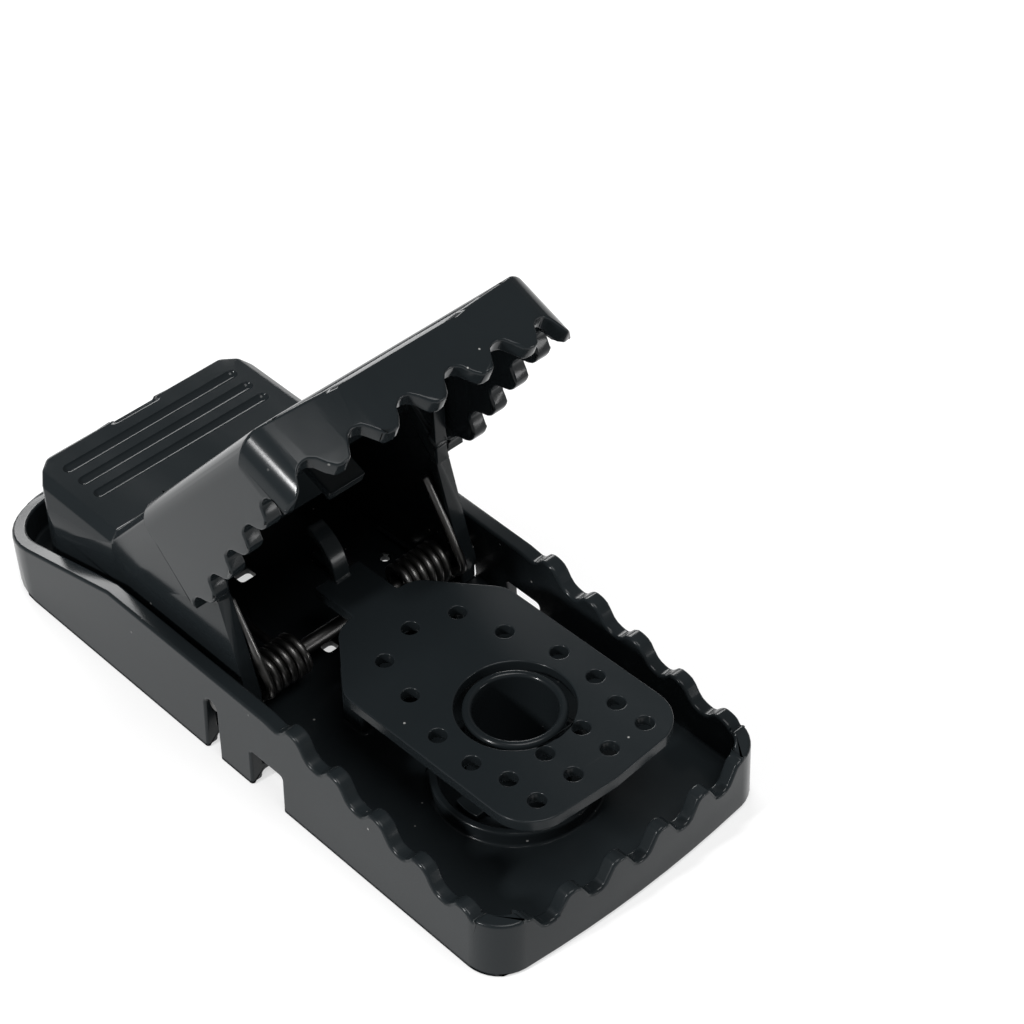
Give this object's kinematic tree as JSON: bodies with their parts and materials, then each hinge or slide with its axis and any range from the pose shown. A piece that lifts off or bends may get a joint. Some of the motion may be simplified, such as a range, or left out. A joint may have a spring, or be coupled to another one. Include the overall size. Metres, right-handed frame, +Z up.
{
  "type": "snap_mouse_trap",
  "caption": "Snap mouse trap shown set: toothed tray, toothed jaw with a grooved press pedal, perforated trigger plate with hook, twist-out bait cup, steel axle and two torsion springs",
  "frame": {"origin": "middle of the box round the set trap, on the ground under it", "axes": "+X from the pedal to the mouth, +Y to the left when looking out of the mouth, +Z up"},
  "size_m": [0.0977, 0.0436, 0.0573],
  "materials": {
    "tray_black": "moulded plastic, semi-gloss black",
    "jaw_black": "moulded plastic, semi-gloss black",
    "plate_black": "moulded plastic, semi-gloss black",
    "cup_black": "moulded plastic, glossy black",
    "zinc_rod": "drawn steel rod, bright zinc",
    "spring_wire": "drawn spring wire"
  },
  "bodies": {
    "base": {"base_tray": "tray_black", "main_axle": "zinc_rod", "left_torsion_spring": "spring_wire", "right_torsion_spring": "spring_wire", "trigger_pin": "zinc_rod"},
    "jaw": {"jaw_and_pedal": "jaw_black"},
    "trigger": {"trigger_plate": "plate_black"},
    "cup": {"bait_cup": "cup_black"}
  },
  "joints": [
    {"name": "jaw_hinge", "type": "hinge", "parent": "base", "child": "jaw", "pos_m": [-0.00205, 0, 0.0076], "axis": [0, 1, 0], "range_deg": [0, 66], "deforming": ["left_torsion_spring", "right_torsion_spring"]},
    {"name": "trigger_hinge", "type": "hinge", "parent": "base", "child": "trigger", "pos_m": [0.0082, 0, 0.0109], "axis": [0, 1, 0], "range_deg": [0, 7.2]},
    {"name": "cup_twist", "type": "hinge", "parent": "base", "child": "cup", "pos_m": [0.028, 0, 0], "axis": [0, 0, 1], "range_deg": [0, 60]}
  ]
}
